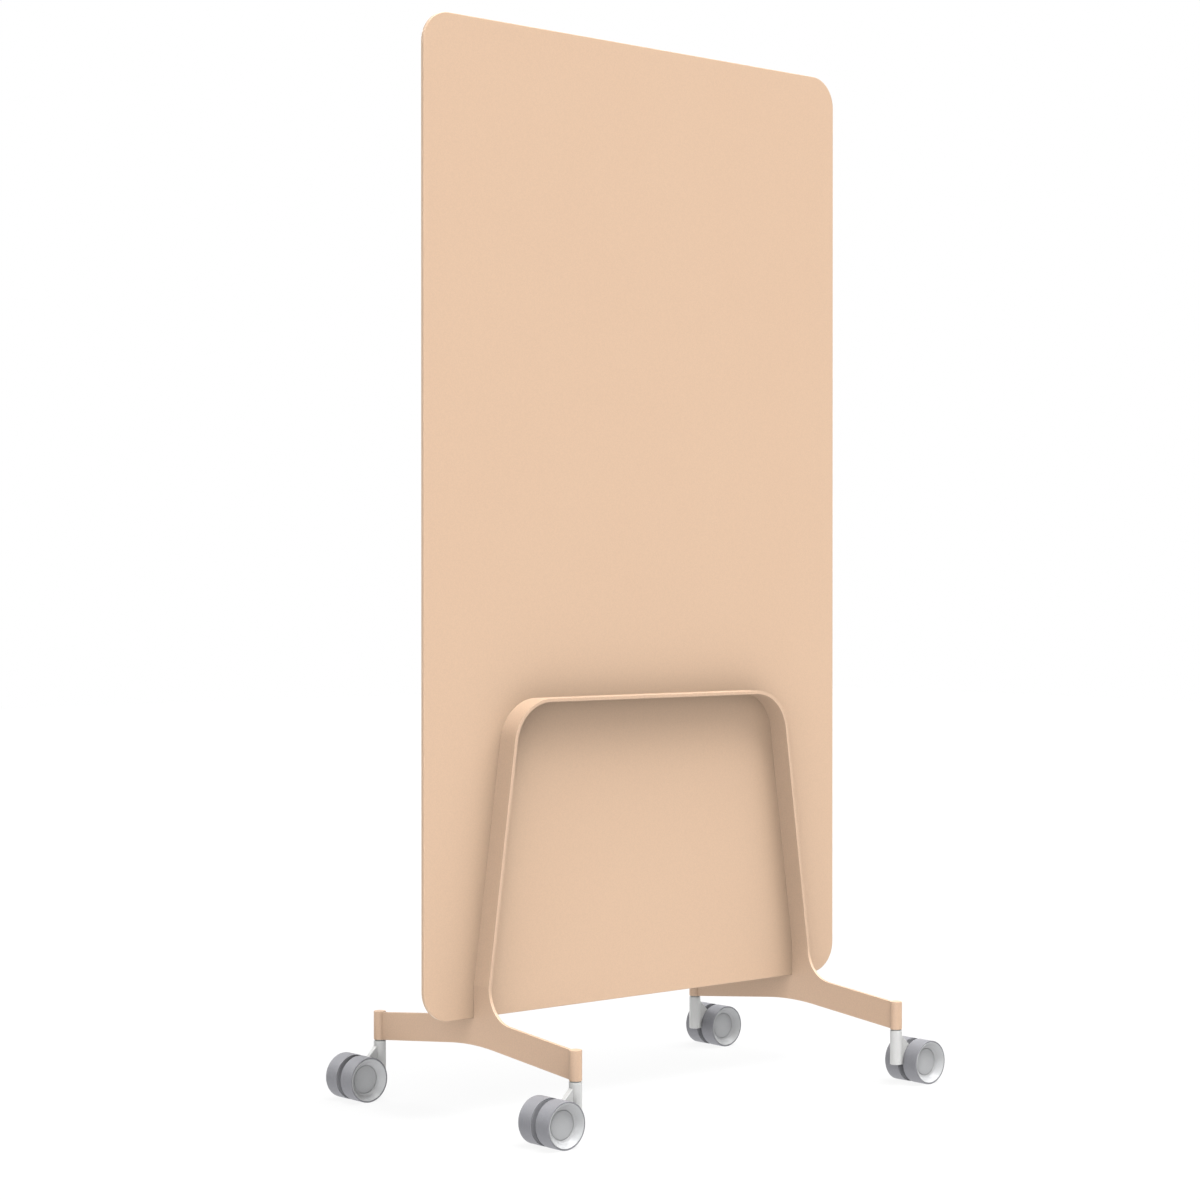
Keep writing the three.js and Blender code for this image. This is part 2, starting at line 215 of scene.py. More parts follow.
def backPaintedGlass(look):
    material, tree, place = startMaterial("backPaintedGlass")
    cloud = addNode(tree, "ShaderNodeTexNoise", {
        "Vector": place, "Scale": perMetre(look["castSpacing"]), "Detail": 2.0,
    })
    colour = addNode(tree, "ShaderNodeMix", {
        0: cloud.outputs["Fac"], 6: linearColour(look["colour"]), 7: linearColour(look["cast"]),
    }, data_type="RGBA")
    stretched = addNode(tree, "ShaderNodeMapping", {
        "Vector": place, "Rotation": (0.0, look["wipeTilt"], 0.0),
        "Scale": (perMetre(look["wipeLength"]), 1.0, perMetre(look["wipeWidth"])),
    })
    wipes = addNode(tree, "ShaderNodeTexNoise", {
        "Vector": stretched.outputs["Vector"], "Scale": 1.0, "Detail": 5.0, "Roughness": 0.6,
    })
    shine = addNode(tree, "ShaderNodeMapRange", {
        "Value": wipes.outputs["Fac"],
        "From Min": look["wipeRange"][0], "From Max": look["wipeRange"][1],
        "To Min": look["roughness"][0], "To Max": look["roughness"][1],
    })
    rollers = addNode(tree, "ShaderNodeTexWave", {
        "Vector": place, "Scale": waveScale * perMetre(look["rollerWave"]),
        "Distortion": 1.5, "Detail": 1.0,
    }, bands_direction="Z")
    bump = addNode(tree, "ShaderNodeBump", {
        "Height": rollers.outputs["Fac"], "Strength": 1.0, "Distance": look["rollerDepth"] * mm,
    })
    endMaterial(tree, {
        "Base Color": colour.outputs[2], "Roughness": shine.outputs["Result"],
        "Normal": bump.outputs["Normal"], "IOR": look["ior"],
    })
    return material


# Zinc-plated steel, turned: bright grey metal with fine lathe rings round its own axis and a
# mottled plating. The rings are drawn about three times as wide as a real cut

platedSteel = {
    "colour": "c3c5c9", "dull": "a9abae", "mottle": 3.5, "roughness": (0.26, 0.42),
    "ringSpacing": 0.35, "ringDepth": 0.006,
}


def zincPlatedSteel(name, look, axis):
    material, tree, place = startMaterial(name)
    mottle = addNode(tree, "ShaderNodeTexNoise", {
        "Vector": place, "Scale": perMetre(look["mottle"]), "Detail": 4.0,
    })
    colour = addNode(tree, "ShaderNodeMix", {
        0: mottle.outputs["Fac"], 6: linearColour(look["colour"]), 7: linearColour(look["dull"]),
    }, data_type="RGBA")
    shine = addNode(tree, "ShaderNodeMapRange", {
        "Value": mottle.outputs["Fac"], "From Min": noiseSpan[0], "From Max": noiseSpan[1],
        "To Min": look["roughness"][0], "To Max": look["roughness"][1],
    })
    rings = addNode(tree, "ShaderNodeTexWave", {
        "Vector": place, "Scale": waveScale * perMetre(look["ringSpacing"]),
        "Distortion": 0.6, "Detail": 1.0,
    }, bands_direction=axis)
    bump = addNode(tree, "ShaderNodeBump", {
        "Height": rings.outputs["Fac"], "Strength": 1.0, "Distance": look["ringDepth"] * mm,
    })
    endMaterial(tree, {
        "Base Color": colour.outputs[2], "Roughness": shine.outputs["Result"],
        "Normal": bump.outputs["Normal"], "Metallic": 1.0,
    })
    return material


# Hot-dip galvanised sheet: grey metal with centimetre-wide spangle, each crystal at its own slight
# height and shine

galvanisedSheet = {
    "colour": "b4b7ba", "dull": "9b9ea2", "roughness": (0.32, 0.5),
    "spangle": 9, "spangleDepth": 0.008,
}


def galvanisedSteel(look):
    material, tree, place = startMaterial("galvanisedSteel")
    crystals = addNode(tree, "ShaderNodeTexVoronoi", {
        "Vector": place, "Scale": perMetre(look["spangle"]),
    })
    tone = addNode(tree, "ShaderNodeSeparateColor", {"Color": crystals.outputs["Color"]})
    colour = addNode(tree, "ShaderNodeMix", {
        0: tone.outputs["Red"], 6: linearColour(look["colour"]), 7: linearColour(look["dull"]),
    }, data_type="RGBA")
    shine = addNode(tree, "ShaderNodeMapRange", {
        "Value": tone.outputs["Green"],
        "To Min": look["roughness"][0], "To Max": look["roughness"][1],
    })
    bump = addNode(tree, "ShaderNodeBump", {
        "Height": tone.outputs["Blue"], "Strength": 1.0, "Distance": look["spangleDepth"] * mm,
    })
    endMaterial(tree, {
        "Base Color": colour.outputs[2], "Roughness": shine.outputs["Result"],
        "Normal": bump.outputs["Normal"], "Metallic": 1.0,
    })
    return material


# Moulded plastics: the steel mould is spark eroded, which leaves an even matt grain, and the colour
# is through the whole part with a very soft flow pattern. The real grain is 0.1 to 0.2 mm, too fine
# to show, so it is drawn several times as coarse, with painted shade in its pits and painted light
# on its crests

mouldings = {
    "mouldedPolyamide": {
        "colour": "ebebe9", "flow": "e5e5e3", "roughness": (0.40, 0.50),
        "grain": 0.9, "grainDepth": 0.022,
    },
    "mouldedPolypropylene": {
        "colour": "d9dadb", "flow": "d3d4d5", "roughness": (0.36, 0.46),
        "grain": 1.0, "grainDepth": 0.018,
    },
    "mouldedHubCap": {
        "colour": "cfd0d1", "flow": "c9cacb", "roughness": (0.40, 0.50),
        "grain": 0.9, "grainDepth": 0.022,
    },
    "mouldedAcetal": {
        "colour": "e6e6e2", "flow": "deded9", "roughness": (0.28, 0.36),
        "grain": 0.6, "grainDepth": 0.008,
    },
}
flowSpacing, flowSwirl = 18, 0.6
paintedGrainShade = (0.975, 1.025)  # painted shade in the grain's pits and painted light on its crests


def mouldedPlastic(name, look):
    material, tree, place = startMaterial(name)
    flow = addNode(tree, "ShaderNodeTexNoise", {
        "Vector": place, "Scale": perMetre(flowSpacing), "Detail": 3.0, "Distortion": flowSwirl,
    })
    colour = addNode(tree, "ShaderNodeMix", {
        0: flow.outputs["Fac"], 6: linearColour(look["colour"]), 7: linearColour(look["flow"]),
    }, data_type="RGBA")
    shine = addNode(tree, "ShaderNodeMapRange", {
        "Value": flow.outputs["Fac"], "From Min": noiseSpan[0], "From Max": noiseSpan[1],
        "To Min": look["roughness"][0], "To Max": look["roughness"][1],
    })
    grain = addNode(tree, "ShaderNodeTexNoise", {
        "Vector": place, "Scale": perMetre(look["grain"]), "Detail": 2.0,
    })
    # painted shade in the grain's pits and painted light on its crests
    tone = addNode(tree, "ShaderNodeMapRange", {
        "Value": grain.outputs["Fac"], "From Min": noiseMiddle[0], "From Max": noiseMiddle[1],
        "To Min": paintedGrainShade[0], "To Max": paintedGrainShade[1],
    })
    grainWithPaintedShade = addNode(tree, "ShaderNodeMix", {
        0: 1.0, 6: colour.outputs[2], 7: tone.outputs["Result"],
    }, data_type="RGBA", blend_type="MULTIPLY")
    bump = addNode(tree, "ShaderNodeBump", {
        "Height": grain.outputs["Fac"], "Strength": 1.0, "Distance": look["grainDepth"] * mm,
    })
    endMaterial(tree, {
        "Base Color": grainWithPaintedShade.outputs[2], "Roughness": shine.outputs["Result"],
        "Normal": bump.outputs["Normal"], "IOR": dielectric,
    })
    return material


# Soft polyurethane moulded round the wheel: mid grey, matt, with a fine grain and the dry scuffs
# that a floor leaves on the tread

treadRubber = {
    "colour": "96969b", "scuffed": "aeaeb2", "roughness": (0.55, 0.72),
    "grain": 1.1, "grainDepth": 0.035,
    "scuffLength": 12, "scuffWidth": 1.6, "scuffRange": (0.52, 0.75), "scuffShare": 0.6,
}


def mouldedPolyurethane(look):
    material, tree, place = startMaterial("mouldedPolyurethane")
    stretched = addNode(tree, "ShaderNodeMapping", {
        "Vector": place,
        "Scale": [perMetre(look[s]) for s in ("scuffWidth", "scuffLength", "scuffWidth")],
    })
    scuffs = addNode(tree, "ShaderNodeTexNoise", {
        "Vector": stretched.outputs["Vector"], "Scale": 1.0, "Detail": 4.0, "Roughness": 0.6,
    })
    worn = addNode(tree, "ShaderNodeMapRange", {
        "Value": scuffs.outputs["Fac"],
        "From Min": look["scuffRange"][0], "From Max": look["scuffRange"][1],
        "To Min": 0.0, "To Max": look["scuffShare"],
    })
    colour = addNode(tree, "ShaderNodeMix", {
        0: worn.outputs["Result"],
        6: linearColour(look["colour"]), 7: linearColour(look["scuffed"]),
    }, data_type="RGBA")
    shine = addNode(tree, "ShaderNodeMapRange", {
        "Value": scuffs.outputs["Fac"], "From Min": noiseMiddle[0], "From Max": noiseMiddle[1],
        "To Min": look["roughness"][0], "To Max": look["roughness"][1],
    })
    grain = addNode(tree, "ShaderNodeTexNoise", {
        "Vector": place, "Scale": perMetre(look["grain"]), "Detail": 2.0,
    })
    bump = addNode(tree, "ShaderNodeBump", {
        "Height": grain.outputs["Fac"], "Strength": 1.0, "Distance": look["grainDepth"] * mm,
    })
    endMaterial(tree, {
        "Base Color": colour.outputs[2], "Roughness": shine.outputs["Result"],
        "Normal": bump.outputs["Normal"], "IOR": dielectric,
    })
    return material


finish = {name: mouldedPlastic(name, look) for name, look in mouldings.items()}
finish["steel"] = powderCoatedSteel(powderOnSteel)
finish["tray"] = powderCoatedAluminium(powderOnAluminium)
finish["glass"] = backPaintedGlass(lacqueredGlass)
finish["turnedPin"] = zincPlatedSteel("zincPlatedPin", platedSteel, "Z")
finish["turnedScrew"] = zincPlatedSteel("zincPlatedScrew", platedSteel, "Y")
finish["sheet"] = galvanisedSteel(galvanisedSheet)
finish["tyre"] = mouldedPolyurethane(treadRubber)
print("materials:", len(finish))


# Mesh building: every piece is a stack of rings joined by quads

cutOverrun = 1  # how far a cutter runs past what it cuts
creaseAngle = 35  # faces that meet at more than this stay sharp, and are the ones that get a bevel
bevelSegments = 3
cornerSteps = 4  # flats in each rounded corner of a turned profile


def roundedPath(corners, steps):
    # corners are (across, up, radius)
    path = []
    for i, (u, v, radius) in enumerate(corners):
        here = Vector((u, v))
        if not radius:
            path.append(here)
            continue
        back = (Vector(corners[i - 1][:2]) - here).normalized()
        ahead = (Vector(corners[(i + 1) % len(corners)][:2]) - here).normalized()
        half = math.acos(back.dot(ahead)) / 2
        centre = here + (back + ahead).normalized() * (radius / math.sin(half))
        start = here + back * (radius / math.tan(half)) - centre
        end = here + ahead * (radius / math.tan(half)) - centre
        turn = math.atan2(start.x * end.y - start.y * end.x, start.dot(end))
        for step in range(steps + 1):
            path.append(centre + Matrix.Rotation(turn * step / steps, 2) @ start)
    return path


def addRings(bm, rings, looped=False, capped=True):
    rows = [[bm.verts.new(Vector(p) * mm) for p in ring] for ring in rings]
    pairs = list(zip(rows, rows[1:])) + ([(rows[-1], rows[0])] if looped else [])
    for low, high in pairs:
        for i in range(len(low)):
            bm.faces.new([low[i - 1], low[i], high[i], high[i - 1]])
    if capped and not looped:
        bm.faces.new(rows[0][::-1])
        bm.faces.new(rows[-1])
    return rows


def turnedRings(profile, sides):
    # a profile of (radius, height) turned about Z
    angles = [2 * math.pi * i / sides for i in range(sides)]
    return [[(r * math.cos(a), r * math.sin(a), h) for a in angles] for r, h in profile if r > 0]


def addTurned(bm, corners, sides):
    profile = roundedPath(corners, cornerSteps)
    return addRings(bm, turnedRings(profile, sides), looped=all(r > 0 for r, h in profile))


def makeMesh(name, bm):
    bmesh.ops.recalc_face_normals(bm, faces=bm.faces)
    mesh = bpy.data.meshes.new(name)
    bm.to_mesh(mesh)
    bm.free()
    return mesh


def makeObject(name, mesh, material):
    piece = bpy.data.objects.new(name, mesh)
    bpy.context.scene.collection.objects.link(piece)
    if material and not mesh.materials:
        mesh.materials.append(material)
    return piece


def smoothFaces(piece, sharpAngle=creaseAngle):
    piece.data.shade_smooth()
    piece.data.set_sharp_from_angle(angle=math.radians(sharpAngle))
    piece.modifiers.new("evenNormals", "WEIGHTED_NORMAL").keep_sharp = True


def roundEdges(piece, width):
    bevel = piece.modifiers.new("roundedEdges", "BEVEL")
    bevel.width = width * mm
    bevel.segments = bevelSegments
    bevel.limit_method = "ANGLE"
    bevel.angle_limit = math.radians(creaseAngle)


def applyModifiers(piece):
    view = bpy.context.evaluated_depsgraph_get()
    mesh = bpy.data.meshes.new_from_object(piece.evaluated_get(view))
    piece.modifiers.clear()
    piece.data = mesh


def cutWith(piece, cutter, operation="DIFFERENCE"):
    step = piece.modifiers.new("cut", "BOOLEAN")
    step.operation = operation
    step.solver = "MANIFOLD"
    step.object = cutter
    applyModifiers(piece)
    bpy.data.objects.remove(cutter)


# Screw places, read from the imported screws: they run along Y through the tray into the band

screwHole = {
    "radius": 1.8, "headRadius": 3.3, "headHeight": 1.5, "headRecess": 0.15, "depth": 14.3,
    "sides": 20,
}


def screwCutter(hole):
    bm = bmesh.new()
    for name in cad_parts:
        if name.startswith("band_screw"):
            low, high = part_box(name)
            headX, headZ = 0.5 * (low.x + high.x) / mm, 0.5 * (low.z + high.z) / mm
            headY = high.y / mm + hole["headRecess"]
            neck = hole["headHeight"] + hole["headRadius"] - hole["radius"]
            profile = [(hole["radius"], -hole["depth"]), (hole["radius"], -neck),
                       (hole["headRadius"], 0), (hole["headRadius"], cutOverrun)]
            addRings(bm, [[(headX + x, headY + h, headZ + y) for x, y, h in ring]
                          for ring in turnedRings(profile, hole["sides"])])
    return makeObject("screwCutter", makeMesh("screwCutter", bm), None)


# Board: the glass pane, with its polished arris, and the tray behind it

board = {
    "width": 1000, "top": 1900, "bottom": 174, "cornerRadius": 55, "cornerSteps": 28,
    "glassFront": 4, "glassBack": 0, "arris": 0.5, "arrisMiddle": (0.15, 0.5),
    "trayBack": -3.6, "trayFloor": -1.2, "trayLip": -0.3, "lipWidth": 2, "lipRound": 0.2,
    "trayEdge": 1.6, "trayEdgeSteps": 4, "sharpAngle": 50,
}


def boardRing(inset, y):
    half = board["width"] / 2 - inset
    low, high = board["bottom"] + inset, board["top"] - inset
    radius = board["cornerRadius"] - inset
    corners = [
        (-half, low, radius), (half, low, radius), (half, high, radius), (-half, high, radius),
    ]
    return [(across, y, up) for across, up in roundedPath(corners, board["cornerSteps"])]


def makeGlassPane():
    arris, front, back = board["arris"], board["glassFront"], board["glassBack"]
    inset, depth = [share * arris for share in board["arrisMiddle"]]
    bm = bmesh.new()
    addRings(bm, [
        boardRing(arris, back), boardRing(inset, back + depth), boardRing(0, back + arris),
        boardRing(0, front - arris), boardRing(inset, front - depth), boardRing(arris, front),
    ])
    pane = makeObject("glassPane", makeMesh("glassPane", bm), finish["glass"])
    smoothFaces(pane, board["sharpAngle"])
    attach(pane, "stand")
    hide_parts("writing_glass")


def makeRearTray():
    edge, steps = board["trayEdge"], board["trayEdgeSteps"]
    lip, width, soft = board["trayLip"], board["lipWidth"], board["lipRound"]
    turns = [math.radians(90 * k / steps) for k in range(steps + 1)]
    bm = bmesh.new()
    addRings(bm, [boardRing(edge * (1 - math.sin(a)), board["trayBack"] + edge * (1 - math.cos(a)))
                  for a in turns] + [
        boardRing(0, lip - soft), boardRing(soft, lip), boardRing(width - soft, lip),
        boardRing(width, lip - soft), boardRing(width, board["trayFloor"]),
    ])
    tray = makeObject("rearTray", makeMesh("rearTray", bm), finish["tray"])
    cutWith(tray, screwCutter(screwHole))
    smoothFaces(tray, board["sharpAngle"])
    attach(tray, "stand")
    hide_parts("rear_panel")


makeGlassPane()
makeRearTray()
print("board: glass pane and rear tray")


# Stand: one flat band bent into an arch, running down into two feet cut from flat plate;
# the welds are ground flush before coating, so it is one skin

stand = {
    "thickness": 6, "front": -46, "back": -3.9, "archTop": 723, "archRadius": 82, "lean": 8,
    "bendHeight": 231.14, "bendRadius": 8, "bendLand": 1.5, "cornerSteps": 28, "bendSteps": 4,
    "plateX": 390, "armEnd": 260, "armSlope": 28.8 / 270, "armTopPeak": 180.5,
    "armBottomPeak": 130.6, "armBottomRadius": 570, "legFillet": 59,
    "notchBottom": 173.7, "notchFront": 4.3, "edge": 0.45,
}


def bandRings():
    t, turn = stand["thickness"], math.radians(stand["lean"])
    outerFoot = stand["plateX"] + t / 2
    start = stand["bendHeight"] - stand["bendLand"]

    def outerX(z):
        return outerFoot - (z - stand["bendHeight"]) * math.tan(turn)

    def innerX(z):
        return outerX(z) - t / math.cos(turn)

    innerBend = stand["bendHeight"] - t * math.tan(turn / 2)
    top, innerTop = stand["archTop"], stand["archTop"] - t

    def side(foot, bend, bendRadius, cornerX, cornerZ, cornerRadius):
        # one face of the band on the right: few flats in the bend, many in the upper corner
        corners = [
            (foot, start, 0), (foot, bend, bendRadius),
            (cornerX, cornerZ, cornerRadius), (0, cornerZ, 0),
        ]
        few, many = stand["bendSteps"], stand["cornerSteps"]
        bendPart = roundedPath(corners, few)[:few + 2]
        cornerPart = roundedPath(corners, many)[many + 2:2 * many + 3]
        return bendPart + cornerPart

    bendRadius, archRadius = stand["bendRadius"], stand["archRadius"]
    outer = side(outerFoot, stand["bendHeight"], bendRadius + t, outerX(top), top, archRadius)
    inner = side(outerFoot - t, innerBend, bendRadius, innerX(innerTop), innerTop, archRadius - t)
    outer += [Vector((-p.x, p.y)) for p in reversed(outer)]
    inner += [Vector((-p.x, p.y)) for p in reversed(inner)]
    front, back = stand["front"], stand["back"]
    return [[(o.x, front, o.y), (o.x, back, o.y), (i.x, back, i.y), (i.x, front, i.y)]
            for o, i in zip(outer, inner)]


def footPath():
    s, front = stand, stand["front"]
    slope, end = s["armSlope"], s["armEnd"]
    high, low = s["armTopPeak"], s["armBottomPeak"]
    top = s["bendHeight"] - s["bendLand"]
    corners = [
        (front, top, 0), (front, high + slope * front, s["legFillet"]),
        (-end, high - slope * end, 0), (-end, low - slope * end, 0),
        (0, low, s["armBottomRadius"]),
        (end, low - slope * end, 0), (end, high - slope * end, 0),
        (s["notchFront"], high - slope * s["notchFront"], 0),
        (s["notchFront"], s["notchBottom"], 0),
        (s["back"], s["notchBottom"], 0), (s["back"], top, 0),
    ]
    return roundedPath(corners, s["cornerSteps"])


def makeStand():
    bm = bmesh.new()
    rows = addRings(bm, bandRings(), capped=False)
    path = footPath()
    for row, sign in ((rows[0], 1), (rows[-1], -1)):
        # each foot's outline starts and ends on the lower corners of the band
        outerX = sign * (stand["plateX"] + stand["thickness"] / 2)
        innerX = sign * (stand["plateX"] - stand["thickness"] / 2)
        outer = [bm.verts.new(Vector((outerX, p.x, p.y)) * mm) for p in path[1:-1]]
        inner = [bm.verts.new(Vector((innerX, p.x, p.y)) * mm) for p in path[1:-1]]
        outer = [row[0]] + outer + [row[1]]
        inner = [row[3]] + inner + [row[2]]
        bm.faces.new(outer)
        bm.faces.new(inner[::-1])
        for i in range(len(outer) - 1):
            bm.faces.new([outer[i], outer[i + 1], inner[i + 1], inner[i]])
    arch = makeObject("weldedStand", makeMesh("weldedStand", bm), finish["steel"])
    roundEdges(arch, stand["edge"])
    cutWith(arch, screwCutter(screwHole))
    smoothFaces(arch)
    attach(arch, "stand")
    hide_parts("arch_band", "foot_plate_left", "foot_plate_right")


makeStand()
print("stand: band and feet")


# Casters: a socket welded to the arm's end, the body, a tube with a web that reaches between the
# wheels, and the two wheels. Each shape is drawn once about its own axis and placed at every corner

socketTube = {
    "radius": 11, "bottom": 102.8, "top": 154.0, "bore": 5.8, "boreTop": 142.8,
    "upperEdge": 0.8, "lowerEdge": 0.4, "sides": 64,
}
casterBody = {
    "radius": 11, "bottom": 38, "top": 101, "edge": 0.9, "bore": 4.15, "boreFloor": 61.7,
    "webThickness": 10.5, "webEdge": 0.9, "webRoot": 1, "webTop": 91, "webRun": 26,
    "throatRadius": 26, "webSteps": 16, "trail": 51.6, "axleHeight": 40, "axleBore": 4.3,
    "bossRadius": 14, "bossFlat": 0.01, "sides": 64, "boreSides": 48,
}
wheel = {
    "radius": 40, "inner": 6.25, "width": 32, "tread": 2, "shoulder": 0.7, "treadEdge": 0.2,
    "coreGap": 0.6, "coreRim": 0.9, "coreInnerEdge": 0.4, "coreRimEdge": 0.3, "boreEdge": 0.2,
    "dishRadius": 25, "dishDepth": 12, "dishFoot": 28.5, "dishRise": 0.4, "dishCurve": 6,
    "dishEdge": 0.2, "capThickness": 2.2, "capGap": 0.3, "capEdge": 1.1, "capBackEdge": 0.2,
    "seatEdge": 0.1, "greyDepth": 0.5, "greyFacing": -0.5, "axleBore": 4.15, "sides": 96,
}


def socketMesh():
    s = socketTube
    bm = bmesh.new()
    addTurned(bm, [
        (0, s["top"], 0), (s["radius"], s["top"], s["upperEdge"]),
        (s["radius"], s["bottom"], s["lowerEdge"]), (s["bore"], s["bottom"], s["lowerEdge"]),
        (s["bore"], s["boreTop"], 0), (0, s["boreTop"], 0),
    ], s["sides"])
    return makeMesh("socketTube", bm)


def casterBodyMesh():
    c = casterBody
    bm = bmesh.new()
    addTurned(bm, [
        (0, c["bottom"], 0), (c["radius"], c["bottom"], c["edge"]),
        (c["radius"], c["top"], c["edge"]), (0, c["top"], 0),
    ], c["sides"])
    tube = makeObject("casterTube", makeMesh("casterTube", bm), finish["mouldedPolyamide"])
    reach, boss = c["trail"] + c["bossRadius"], c["bossRadius"]
    turn = boss - c["bossFlat"]  # the web's end is two quarter turns with a hair of flat between
    outline = roundedPath([
        (c["webRoot"], c["bottom"] + c["edge"], 0),
        (reach, c["axleHeight"] - boss, turn), (reach, c["axleHeight"] + boss, turn),
        (c["radius"] + c["webRun"], c["webTop"] - c["webRun"], c["throatRadius"]),
        (c["radius"], c["webTop"], 0), (c["webRoot"], c["webTop"], 0),
    ], c["webSteps"])
    half = c["webThickness"] / 2
    bm = bmesh.new()
    addRings(bm, [[(p.x, y, p.y) for p in outline] for y in (-half, half)])
    web = makeObject("casterWeb", makeMesh("casterWeb", bm), None)
    roundEdges(web, c["webEdge"])
    cutWith(tube, web, "UNION")
    bm = bmesh.new()
    pinProfile = [(c["bore"], c["boreFloor"]), (c["bore"], c["top"] + cutOverrun)]
    addRings(bm, turnedRings(pinProfile, c["boreSides"]))
    holeProfile = [(c["axleBore"], -half - cutOverrun), (c["axleBore"], half + cutOverrun)]
    addRings(bm, [[(c["trail"] + x, h, c["axleHeight"] + y) for x, y, h in ring]
                  for ring in turnedRings(holeProfile, c["boreSides"])])
    cutWith(tube, makeObject("casterBores", makeMesh("casterBores", bm), None))
    mesh = tube.data
    bpy.data.objects.remove(tube)
    return mesh


def wheelMeshes():
    # turned about Z with the outer face up; placing turns Z to the wheel's own side
    w = wheel
    low, high = w["inner"], w["inner"] + w["width"]
    inside = w["radius"] - w["tread"]
    bm = bmesh.new()
    addTurned(bm, [
        (inside, low, w["treadEdge"]), (w["radius"], low, w["shoulder"]),
        (w["radius"], high, w["shoulder"]), (inside, high, w["treadEdge"]),
    ], w["sides"])
    tyre = makeMesh("tyre", bm)
    outside = inside - w["coreGap"]
    floor = high - w["dishDepth"]
    capBack = floor - w["capThickness"]
    seat = capBack - w["capGap"]
    bm = bmesh.new()
    addTurned(bm, [
        (w["axleBore"], low, w["boreEdge"]), (outside, low, w["coreInnerEdge"]),
        (outside, high, w["coreRimEdge"]), (outside - w["coreRim"], high, w["coreRimEdge"]),
        (w["dishFoot"], floor + w["dishRise"], w["dishCurve"]),
        (w["dishRadius"], floor, w["dishEdge"]), (w["dishRadius"], seat, w["seatEdge"]),
        (w["axleBore"], seat, w["boreEdge"]),
    ], w["sides"])
    disc = makeMesh("wheelDisc", bm)
    disc.materials.append(finish["mouldedPolypropylene"])
    disc.materials.append(finish["tyre"])
    for face in disc.polygons:
        # the flat side that faces the caster body takes the tyre's grey material
        if face.center.z < (low + w["greyDepth"]) * mm and face.normal.z < w["greyFacing"]:
            face.material_index = 1
    capRadius = w["dishRadius"] - w["capGap"]
    bm = bmesh.new()
    addTurned(bm, [
        (0, capBack, 0), (capRadius, capBack, w["capBackEdge"]),
        (capRadius, floor, w["capEdge"]), (0, floor, 0),
    ], w["sides"])
    return tyre, disc, makeMesh("hubCap", bm)


def placeCasters():
    socket, body = socketMesh(), casterBodyMesh()
    tyre, disc, cap = wheelMeshes()
    for corner, xSide in casterSides.items():
        low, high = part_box("socket_" + corner)
        spot = Vector((0.5 * (low.x + high.x), 0.5 * (low.y + high.y), 0))
        piece = makeObject("socketTube_" + corner, socket, finish["steel"])
        piece.location = spot
        smoothFaces(piece)
        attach(piece, "stand")
        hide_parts("socket_" + corner)
        piece = makeObject("casterBody_" + corner, body, finish["mouldedPolyamide"])
        piece.location = spot
        piece.rotation_euler.z = 0 if xSide > 0 else math.pi
        smoothFaces(piece)
        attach(piece, "swivel_" + corner)
        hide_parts("housing_" + corner)
        hub = spot + Vector((xSide * casterBody["trail"], 0, casterBody["axleHeight"])) * mm
        for end, ySide in (("near", -1), ("far", 1)):
            for name, node, mesh, look, slot in (
                ("tyre", "tread", tyre, "tyre", "tread_rubber"),
                ("wheelDisc", "core", disc, "mouldedPolypropylene", "wheel_plastic"),
                ("hubCap", "cap", cap, "mouldedHubCap", "cap_plastic"),
            ):
                piece = makeObject(f"{name}_{corner}_{end}", mesh, finish[look])
                piece.location = hub
                piece.rotation_euler.x = -ySide * math.pi / 2
                smoothFaces(piece)
                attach(piece, f"wheel_{corner}_{end}")
                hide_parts(f"{node}_{corner}_{end}")


placeCasters()
print("casters: sockets, bodies and wheels")


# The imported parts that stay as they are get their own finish

carried = {
    "magnetic_sheet": "sheet", "band_screw": "turnedScrew", "axle": "turnedScrew",
    "stem": "turnedPin", "grip_ring": "turnedPin", "thrust_washer": "mouldedAcetal",
}
for name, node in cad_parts.items():
    for start, look in carried.items():
        if name.startswith(start):
            node.material_slots[0].material = finish[look]
print("carried parts finished")


# Studio: pale floor, three soft lamps on the stand side and one behind the board, a pale surround
# that is strongest from below, and the camera

studio = {
    "floor": "f4f4f3", "floorHalf": 14, "floorSquares": 8, "floorShadow": 0.1,
    "floorRoughness": 0.9, "floorShine": 0.1, "napSpacing": 6, "napDetail": 2.0, "napDepth": 0.02,
    "lamps": {
        "topKey": (1.9, 30, (0.0, -0.259, 0.966)),
        "rightKey": (2.4, 60, (0.366, -0.211, 0.906)),
        "leftFill": (1.25, 60, (-0.836, -0.483, 0.259)),
        "backFill": (1.5, 15, (0.0, 0.940, 0.342)),
    },
    "surround": "fcfcfd", "surroundFrom": {(0, 0, -1): 1.35, (0, 0, 1): 0.25, (0, -1, 0): 0.08},
    "sensorWidth": 36, "lens": 80.722, "cameraPlace": (-3.28929, -3.63161, 0.92430),
    "cameraYaw": -41.2986, "cameraDip": 0.357,
}


def cameraOrMirrorRay(tree):
    path = addNode(tree, "ShaderNodeLightPath")
    seen = addNode(tree, "ShaderNodeMath", {
        0: path.outputs["Is Camera Ray"], 1: path.outputs["Is Glossy Ray"],
    }, operation="MAXIMUM")
    return addNode(tree, "ShaderNodeMath", {
        0: seen.outputs[0], 1: path.outputs["Is Transmission Ray"],
    }, operation="MAXIMUM").outputs[0]


